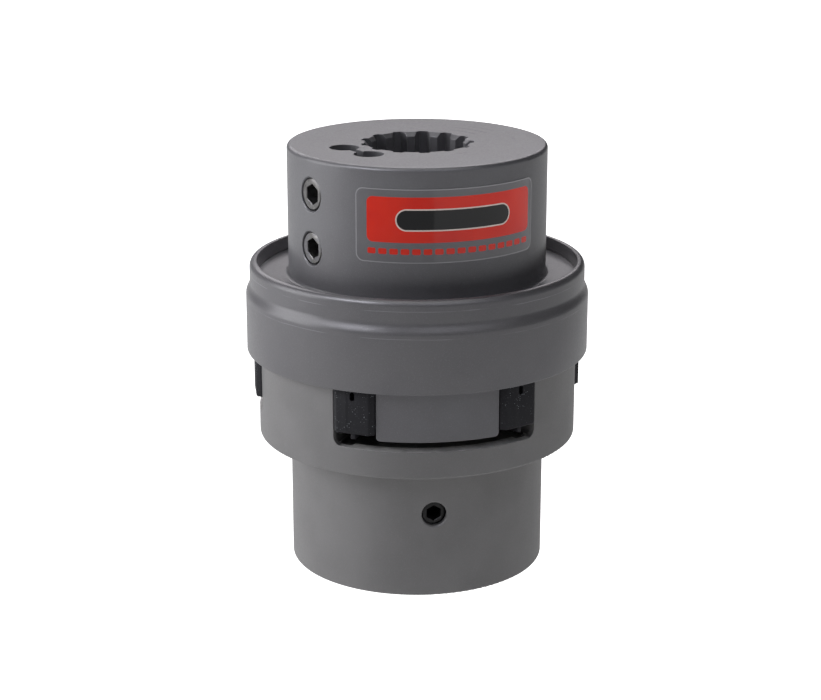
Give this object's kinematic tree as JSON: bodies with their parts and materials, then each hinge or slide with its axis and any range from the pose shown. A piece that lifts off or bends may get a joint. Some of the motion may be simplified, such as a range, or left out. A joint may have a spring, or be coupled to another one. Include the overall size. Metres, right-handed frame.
{
  "type": "jaw coupling",
  "caption": "Flexible shaft coupling: two jawed hubs with rubber load cushions between the jaws, held in by a slip-over collar; one hub has a splined clamp bore, the other a keyed bore.",
  "frame": {"origin": "centre of the keyed hub's end face, on the shaft axis", "axes": "+Z along the shaft axis from the keyed hub to the splined hub; -Y towards the keyway, the key screw and the middle of one splined-hub jaw"},
  "size_m": [0.1356, 0.1356, 0.1693],
  "materials": {
    "lower_hub_paint": "satin grey enamel over cast iron",
    "upper_hub_paint": "satin grey enamel over cast iron",
    "collar_paint": "satin grey enamel over formed steel",
    "cushion_rubber": "matt moulded",
    "screw_steel": "partly painted over",
    "black_screw_steel": "black oxide",
    "label_film": "printed gloss film"
  },
  "bodies": {
    "keyed_side": {"keyed_hub": "lower_hub_paint"},
    "cushion_set": {"cushion_1": "cushion_rubber", "cushion_2": "cushion_rubber", "cushion_3": "cushion_rubber", "cushion_4": "cushion_rubber", "cushion_5": "cushion_rubber", "cushion_6": "cushion_rubber"},
    "splined_side": {"splined_hub": "upper_hub_paint", "label": "label_film"},
    "collar": {"retaining_collar": "collar_paint"},
    "upper_clamp_screw": {"clamp_screw_upper": "screw_steel"},
    "lower_clamp_screw": {"clamp_screw_lower": "screw_steel"},
    "key_set_screw": {"key_screw": "black_screw_steel"}
  },
  "joints": [
    {"name": "torsional_play", "type": "hinge", "parent": "keyed_side", "child": "cushion_set", "pos_m": [0, 0, 0.0846], "axis": [0, 0, 1], "range_deg": [-0.2, 0.2]},
    {"name": "hub_separation", "type": "slide", "parent": "cushion_set", "child": "splined_side", "axis": [0, 0, 1], "range_m": [0, 0.045]},
    {"name": "collar_lift", "type": "slide", "parent": "splined_side", "child": "collar", "axis": [0, 0, 1], "range_m": [0, 0.04]},
    {"name": "upper_clamp_screw_travel", "type": "slide", "parent": "splined_side", "child": "upper_clamp_screw", "axis": [-0.866, -0.5, 0], "range_m": [0, 0.01]},
    {"name": "lower_clamp_screw_travel", "type": "slide", "parent": "splined_side", "child": "lower_clamp_screw", "axis": [-0.866, -0.5, 0], "range_m": [0, 0.01]},
    {"name": "key_screw_travel", "type": "slide", "parent": "keyed_side", "child": "key_set_screw", "axis": [0, -1, 0], "range_m": [0, 0.01]}
  ]
}
